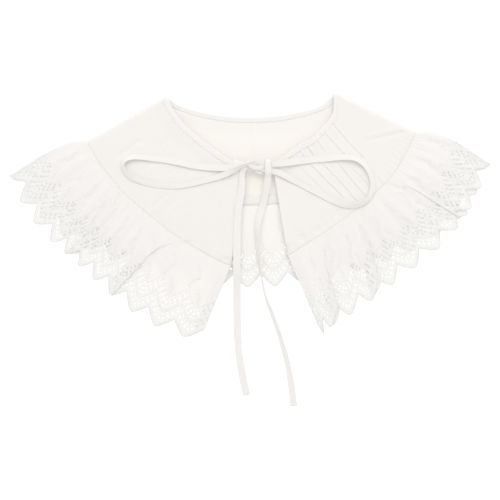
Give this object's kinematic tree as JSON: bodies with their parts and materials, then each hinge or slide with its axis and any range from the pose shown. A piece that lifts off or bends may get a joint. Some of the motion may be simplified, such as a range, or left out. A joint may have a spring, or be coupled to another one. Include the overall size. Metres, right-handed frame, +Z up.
{
  "type": "cotton cape collar with eyelet lace ruffle",
  "caption": "Detachable cape collar of woven cotton, lying folded flat, with a gathered scalloped eyelet lace ruffle, a bound neck edge and a narrow tape tie in a bow.",
  "frame": {"origin": "under the middle of the back panel, on the surface that the collar lies on", "axes": "+X to the wearer's left leaf as seen from above, +Y towards the neckline, +Z up out of the surface"},
  "size_m": [0.505, 0.3321, 0.0139],
  "materials": {
    "cotton_cloth": "matt plain weave",
    "eyelet_lace": "matt embroidered eyelet",
    "cotton_tape": "matt folded tape"
  },
  "bodies": {
    "root": {"collar_body": "cotton_cloth", "lace_ruffle": "eyelet_lace", "neck_binding": "cotton_tape", "tie_knot": "cotton_tape", "tie_loop_left": "cotton_tape", "tie_loop_right": "cotton_tape", "tie_tail_left": "cotton_tape", "tie_tail_right": "cotton_tape"}
  },
  "joints": []
}
